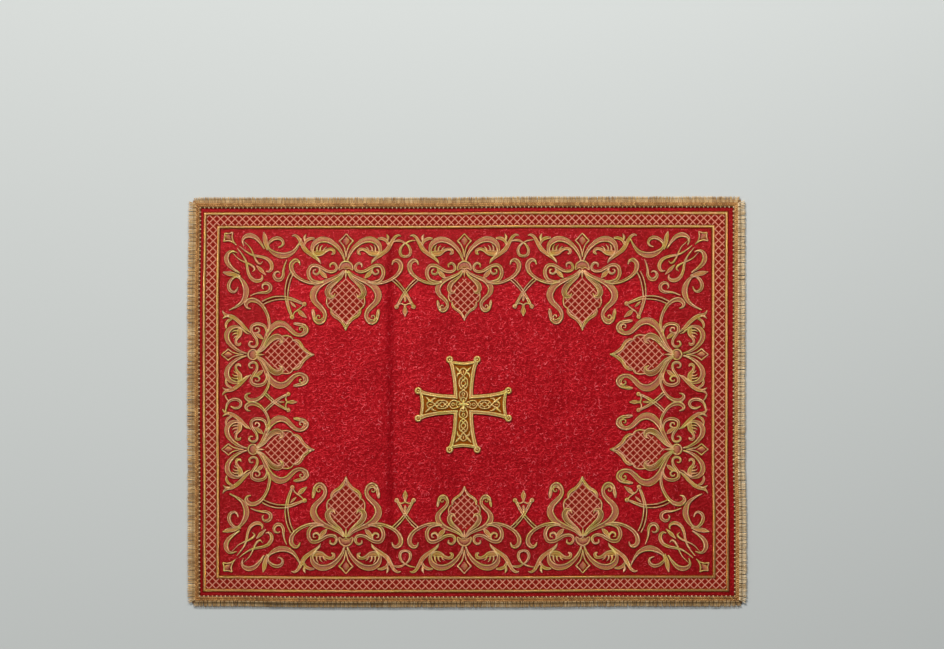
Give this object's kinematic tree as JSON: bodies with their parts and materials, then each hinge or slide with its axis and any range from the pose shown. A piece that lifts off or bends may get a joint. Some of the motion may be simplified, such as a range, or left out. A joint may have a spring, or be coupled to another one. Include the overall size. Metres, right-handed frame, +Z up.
{
  "type": "aer",
  "caption": "Rectangular red brocade aer laid flat, with a raised gold cross in the middle, a gold embroidered border and a short gold fringe all round.",
  "frame": {"origin": "on the resting surface, below the middle of the cloth's overall rectangle, fringe included", "axes": "+X along the long sides, +Y across them towards the top edge of the embroidery, +Z up, out of the cloth's face"},
  "size_m": [0.6, 0.441, 0.0055],
  "materials": {
    "brocade": "red jacquard brocade with a small shiny curl pattern",
    "gold_embroidery": "raised gold thread embroidery in satin stitch",
    "gold_trim": "woven gold heading with short cut locks of metallic yarn"
  },
  "bodies": {
    "root": {"panel": "brocade", "cross": "gold_embroidery", "fringe_left": "gold_trim", "fringe_right": "gold_trim", "fringe_top": "gold_trim", "fringe_bottom": "gold_trim"}
  },
  "joints": []
}
